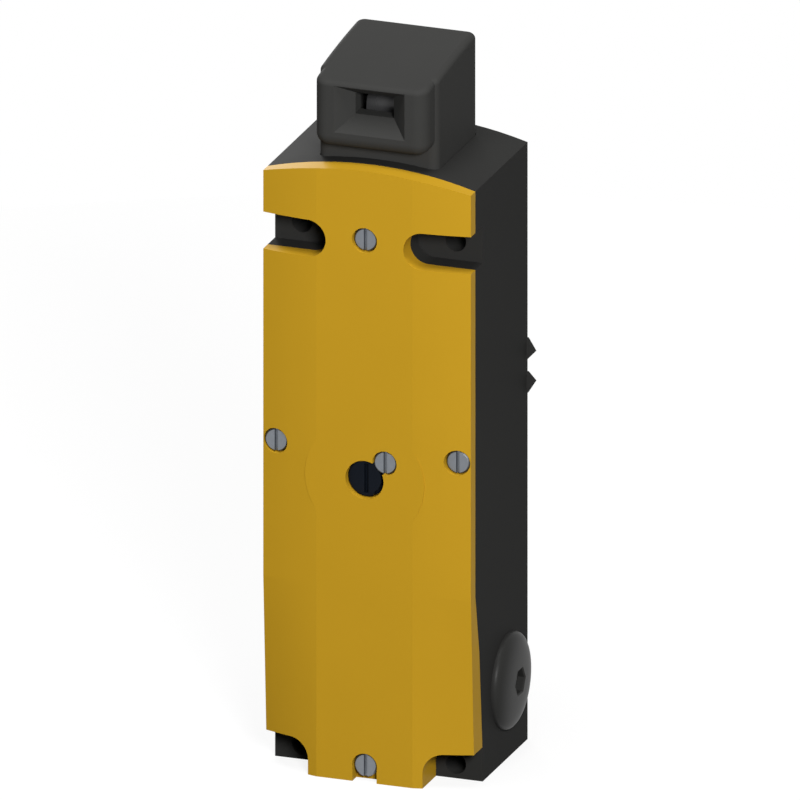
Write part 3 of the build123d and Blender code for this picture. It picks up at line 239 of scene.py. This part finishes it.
# The head's black is lighter than the housing's although it is the same nylon. The extra
# lightness is painted light, so that its front and top come out brighter.
head_black_with_painted_light = moulded_plastic(
    "head_black_with_painted_light", colour=(0.042, 0.042, 0.0405), roughness=0.62,
    grain=0.0005, depth=0.00002, variation=0.08, specular=0.01)
dress("head", head_black_with_painted_light)

rubber_black = moulded_plastic(
    "seal_rubber", colour=(0.012, 0.012, 0.012), roughness=0.72,
    grain=0.0003, depth=0.00002, variation=0.2, specular=0.35)
dress("head_seal", rubber_black)


# Head screws
# Four steel screws with hexagon sockets, zinc plated, that go up through the housing's roof.

mark_detail = 4.0
mark_dark = 0.88
mark_light = 1.08
mark_roughness_spread = 0.08
mark_strength = 0.4


def worked_metal(name, colour, roughness, streak, stretch, depth):
    # Streak is the width of the tool marks in metres, and stretch how much longer they are
    # along each axis.
    material = new_material(name)
    tree = material.node_tree
    place = tree.nodes.new("ShaderNodeTexCoord")
    along = tree.nodes.new("ShaderNodeMapping")
    along.inputs["Scale"].default_value = [1.0 / times for times in stretch]
    tree.links.new(place.outputs["Object"], along.inputs["Vector"])
    shader = tree.nodes.new("ShaderNodeBsdfPrincipled")
    shader.inputs["Metallic"].default_value = 1.0
    marks = tree.nodes.new("ShaderNodeTexNoise")
    marks.inputs["Scale"].default_value = 1.0 / streak
    marks.inputs["Detail"].default_value = mark_detail
    tree.links.new(along.outputs["Vector"], marks.inputs["Vector"])
    tint = tree.nodes.new("ShaderNodeMix")
    tint.data_type = "RGBA"
    tint.inputs["A"].default_value = (*[c * mark_dark for c in colour], 1)
    tint.inputs["B"].default_value = (*[min(1.0, c * mark_light) for c in colour], 1)
    tree.links.new(marks.outputs["Fac"], tint.inputs["Factor"])
    tree.links.new(tint.outputs["Result"], shader.inputs["Base Color"])
    gloss = tree.nodes.new("ShaderNodeMapRange")
    gloss.inputs["To Min"].default_value = roughness - mark_roughness_spread
    gloss.inputs["To Max"].default_value = roughness + mark_roughness_spread
    tree.links.new(marks.outputs["Fac"], gloss.inputs["Value"])
    tree.links.new(gloss.outputs["Result"], shader.inputs["Roughness"])
    bump = tree.nodes.new("ShaderNodeBump")
    bump.inputs["Strength"].default_value = mark_strength
    bump.inputs["Distance"].default_value = depth
    tree.links.new(marks.outputs["Fac"], bump.inputs["Height"])
    tree.links.new(bump.outputs["Normal"], shader.inputs["Normal"])
    output = tree.nodes.new("ShaderNodeOutputMaterial")
    tree.links.new(shader.outputs[0], output.inputs["Surface"])
    return material


screw_zinc = worked_metal(
    "screw_zinc", colour=(0.20, 0.215, 0.235), roughness=0.48,
    streak=0.0011, stretch=(1, 1, 1), depth=0.00001)
dress("head_screws", screw_zinc)


# Cam wheel
# The black wheel that the tongue turns, moulded in acetal. It runs on a steel pin, and a
# pale moulded insert under it keeps the pin up in the head's grooves.

wheel_black = moulded_plastic(
    "wheel_black", colour=(0.030, 0.030, 0.031), roughness=0.38,
    grain=0.0008, depth=0.00001, variation=0.08, specular=0.5)
dress("cam_wheel", wheel_black)

insert_natural = moulded_plastic(
    "insert_natural", colour=(0.60, 0.585, 0.53), roughness=0.45,
    grain=0.0009, depth=0.00001, variation=0.04, specular=0.5)
dress("axle_retainer", insert_natural)

pin_steel = worked_metal(
    "pin_steel", colour=(0.52, 0.52, 0.53), roughness=0.26,
    streak=0.0004, stretch=(6, 1, 1), depth=0.000004)
dress("cam_axle", pin_steel)


# Plunger
# The rod that the wheel pushes down, moulded in white acetal, with its return spring. It
# slides in a turned brass bush in the roof, and a rubber wiper ring keeps dirt out.

plunger_white = moulded_plastic(
    "plunger_white", colour=(0.66, 0.65, 0.60), roughness=0.40,
    grain=0.0009, depth=0.00001, variation=0.04, specular=0.5)
dress("plunger", plunger_white)

bush_brass = worked_metal(
    "bush_brass", colour=(0.66, 0.47, 0.20), roughness=0.30,
    streak=0.0003, stretch=(3, 3, 1), depth=0.000006)
dress("plunger_guide", bush_brass)
dress("plunger_seal", rubber_black)

spring_wire = worked_metal(
    "spring_wire", colour=(0.50, 0.50, 0.52), roughness=0.30,
    streak=0.0002, stretch=(1, 1, 1), depth=0.000004)
dress("plunger_spring", spring_wire)


# Contacts
# The bar on the plunger carries brass bridges, which close or part the brass strips in the
# two blocks. The blocks are moulded in grey nylon and screwed to the back wall.

block_grey = moulded_plastic(
    "block_grey", colour=(0.28, 0.30, 0.31), roughness=0.46,
    grain=0.0006, depth=0.00002, variation=0.06, specular=0.5)
dress("contact_block_left", block_grey)
dress("contact_block_right", block_grey)
dress("contact_carrier", insert_natural)

contact_brass = worked_metal(
    "contact_brass", colour=(0.70, 0.50, 0.22), roughness=0.32,
    streak=0.0003, stretch=(1, 8, 1), depth=0.000006)
dress("carrier_bridges", contact_brass)
dress("fixed_contacts", contact_brass)
dress("contact_screws", screw_zinc)
dress("block_screws", screw_zinc)


# Solenoid
# A folded steel frame round a coil of enamelled copper wire on a nylon bobbin, with a fixed
# steel core in its lower half. Four screws hold the frame to the back wall.

folded_steel = worked_metal(
    "folded_steel", colour=(0.42, 0.42, 0.43), roughness=0.40,
    streak=0.0006, stretch=(1, 1, 10), depth=0.00001)
dress("solenoid_frame", folded_steel)
dress("solenoid_core", folded_steel)
dress("bobbin", insert_natural)
dress("solenoid_screws", screw_zinc)

wire_pitch = 0.0004
wire_dark = (0.16, 0.035, 0.012, 1)
wire_light = (0.40, 0.11, 0.035, 1)
wire_roughness = 0.30
enamel_coat = 0.5
turn_waver = 0.4
wave_turns = 20 / (2 * math.pi)     # waves to the metre of a wave texture at scale 1

winding = new_material("copper_winding")
tree = winding.node_tree
place = tree.nodes.new("ShaderNodeTexCoord")
shader = tree.nodes.new("ShaderNodeBsdfPrincipled")
shader.inputs["Roughness"].default_value = wire_roughness
shader.inputs["Coat Weight"].default_value = enamel_coat
turns = tree.nodes.new("ShaderNodeTexWave")
turns.bands_direction = "Z"
turns.inputs["Scale"].default_value = 1 / (wave_turns * wire_pitch)
turns.inputs["Distortion"].default_value = turn_waver
tree.links.new(place.outputs["Object"], turns.inputs["Vector"])
tint = tree.nodes.new("ShaderNodeMix")
tint.data_type = "RGBA"
tint.inputs["A"].default_value = wire_dark
tint.inputs["B"].default_value = wire_light
tree.links.new(turns.outputs["Fac"], tint.inputs["Factor"])
tree.links.new(tint.outputs["Result"], shader.inputs["Base Color"])
bump = tree.nodes.new("ShaderNodeBump")
bump.inputs["Distance"].default_value = wire_pitch / 4
tree.links.new(turns.outputs["Fac"], bump.inputs["Height"])
tree.links.new(bump.outputs["Normal"], shader.inputs["Normal"])
output = tree.nodes.new("ShaderNodeOutputMaterial")
tree.links.new(shader.outputs[0], output.inputs["Surface"])
dress("coil", winding)


# Armature
# The steel rod that the coil pulls down onto its core. A spring on the frame's top pushes it
# up again, and its moulded pad then lifts the lock lever and the monitor's brass bridge.

dress("armature", folded_steel)
dress("armature_pad", insert_natural)
dress("armature_spring", spring_wire)


# Monitor contact
# A grey nylon block beside the solenoid with two brass strips, which the pad's bridge joins
# while the lock is free. It is built like the main contacts.

dress("monitor_block", block_grey)
dress("monitor_contacts", contact_brass)
dress("monitor_bridge", contact_brass)
dress("monitor_screws", screw_zinc)


# Supply terminals
# A grey nylon block under the monitor contact, with two brass plates and clamp screws for
# the solenoid's wires. Long screws hold both blocks to the back wall.

dress("supply_block", block_grey)
dress("supply_plates", contact_brass)
dress("supply_screws", screw_zinc)
dress("side_block_screws", screw_zinc)


# Lock
# A stamped steel lever whose tip swings over the plunger's collar. Its pin sits in a moulded
# slide that the manual release moves aside, and a folded steel frame guides all of it.

dress("lock_lever", folded_steel)
dress("lever_pin", pin_steel)
dress("release_carriage", insert_natural)
dress("lock_frame", folded_steel)
dress("frame_screws", screw_zinc)


# Cover
# The yellow front, moulded in glass-filled nylon with a satin surface. It closes on a rubber
# gasket and is held by four slotted screws.

cover_yellow = moulded_plastic(
    "cover_yellow", colour=(0.500, 0.285, 0.015), roughness=0.52,
    grain=0.0006, depth=0.000012, variation=0.025, specular=0.06)
dress("cover", cover_yellow)
dress("cover_seal", rubber_black)
dress("cover_screws", screw_zinc)


# Manual release
# A black disc that is turned with a screwdriver, with an O-ring and a spring clip behind the
# cover. A sealing screw beside it, with its head in the disc's rim, keeps it from turning.

release_black = moulded_plastic(
    "release_black", colour=(0.005, 0.007, 0.011), roughness=0.45,
    grain=0.0006, depth=0.00001, variation=0.1, specular=0.06)
dress("release_rotor", release_black)
dress("release_seal", rubber_black)
dress("release_clip", spring_wire)
dress("sealing_screw", screw_zinc)


# Blanking plugs
# Domed nylon plugs with a hexagon socket and a hollow threaded shank, moulded in one piece.
# Each is screwed into a side entry on a flat rubber washer, which lies in its hollow face.

plug_black = moulded_plastic(
    "plug_black", colour=(0.024, 0.024, 0.023), roughness=0.40,
    grain=0.0006, depth=0.00001, variation=0.08, specular=0.08)
plug_steps = 96
plug_dome = 0.0033
plug_fullness = 2.8
dome_shares = (0.36, 0.44, 0.52, 0.60, 0.68, 0.75, 0.81, 0.86, 0.90, 0.935, 0.96, 0.98,
               0.993, 0.999)
socket_half = 0.0030
socket_taper = 0.98
socket_depth = 0.0020
socket_chamfer = 0.0003
entry_face_x = 0.027
entry_thread_r = 0.00925
shank_gap = 0.00025
shank_wall = 0.00195
cap_over_bore = 0.0015
washer_r = 0.0113
washer_t = 0.0008
plug_crease = math.radians(35)


def turned_plug(name, node, side):
    # Rings of points round the entry's axis, from the bottom of the socket over the dome to
    # the open end of the shank. The first three rings are hexagons.
    low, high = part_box(node)
    centre_y = (low.y + high.y) / 2
    centre_z = (low.z + high.z) / 2
    flange_r = (high.z - low.z) / 2
    inner_x = min(abs(low.x), abs(high.x))
    shank_r = entry_thread_r - shank_gap
    bore_r = shank_r - shank_wall
    face_x = entry_face_x

    def dome_x(r):
        return face_x + plug_dome * (1 - (r / flange_r) ** plug_fullness) ** (1 / plug_fullness)

    rings = [
        ("hexagon", socket_half * socket_taper, face_x + plug_dome - socket_depth),
        ("hexagon", socket_half, dome_x(socket_half) - socket_chamfer),
        ("hexagon", socket_half + socket_chamfer, dome_x(socket_half)),
    ]
    rings += [("circle", flange_r * share, dome_x(flange_r * share)) for share in dome_shares]
    rings += [
        ("circle", flange_r, face_x),
        ("circle", washer_r, face_x),
        ("circle", washer_r, face_x + washer_t),
        ("circle", shank_r, face_x + washer_t),
        ("circle", shank_r, inner_x),
        ("circle", bore_r, inner_x),
        ("circle", bore_r, face_x - cap_over_bore),
    ]
    points = []
    for shape, r, x in rings:
        for step in range(plug_steps):
            angle = 2 * math.pi * step / plug_steps
            reach = r
            if shape == "hexagon":
                reach = r / math.cos((angle + math.pi / 6) % (math.pi / 3) - math.pi / 6)
            y = centre_y + reach * math.sin(angle)
            z = centre_z + reach * math.cos(angle)
            points.append((side * x, y, z))
    socket_floor = list(range(plug_steps))
    bore_floor = list(range(len(points) - plug_steps, len(points)))[::-1]
    faces = [socket_floor, bore_floor]
    for ring in range(len(rings) - 1):
        for step in range(plug_steps):
            a = ring * plug_steps + step
            b = ring * plug_steps + (step + 1) % plug_steps
            faces.append((b, a, a + plug_steps, b + plug_steps))
    if side > 0:
        faces = [tuple(reversed(face)) for face in faces]
    mesh = bpy.data.meshes.new(name)
    mesh.from_pydata(points, [], faces)
    mesh.shade_smooth()
    mesh.set_sharp_from_angle(angle=plug_crease)
    mesh.materials.append(plug_black)
    plug = bpy.data.objects.new(name, mesh)
    bpy.context.scene.collection.objects.link(plug)
    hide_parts(node)
    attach(plug, "housing")


turned_plug("blanking_plug_right", "entry_plug_right", side=1)
turned_plug("blanking_plug_left", "entry_plug_left", side=-1)
dress("entry_seals", rubber_black)
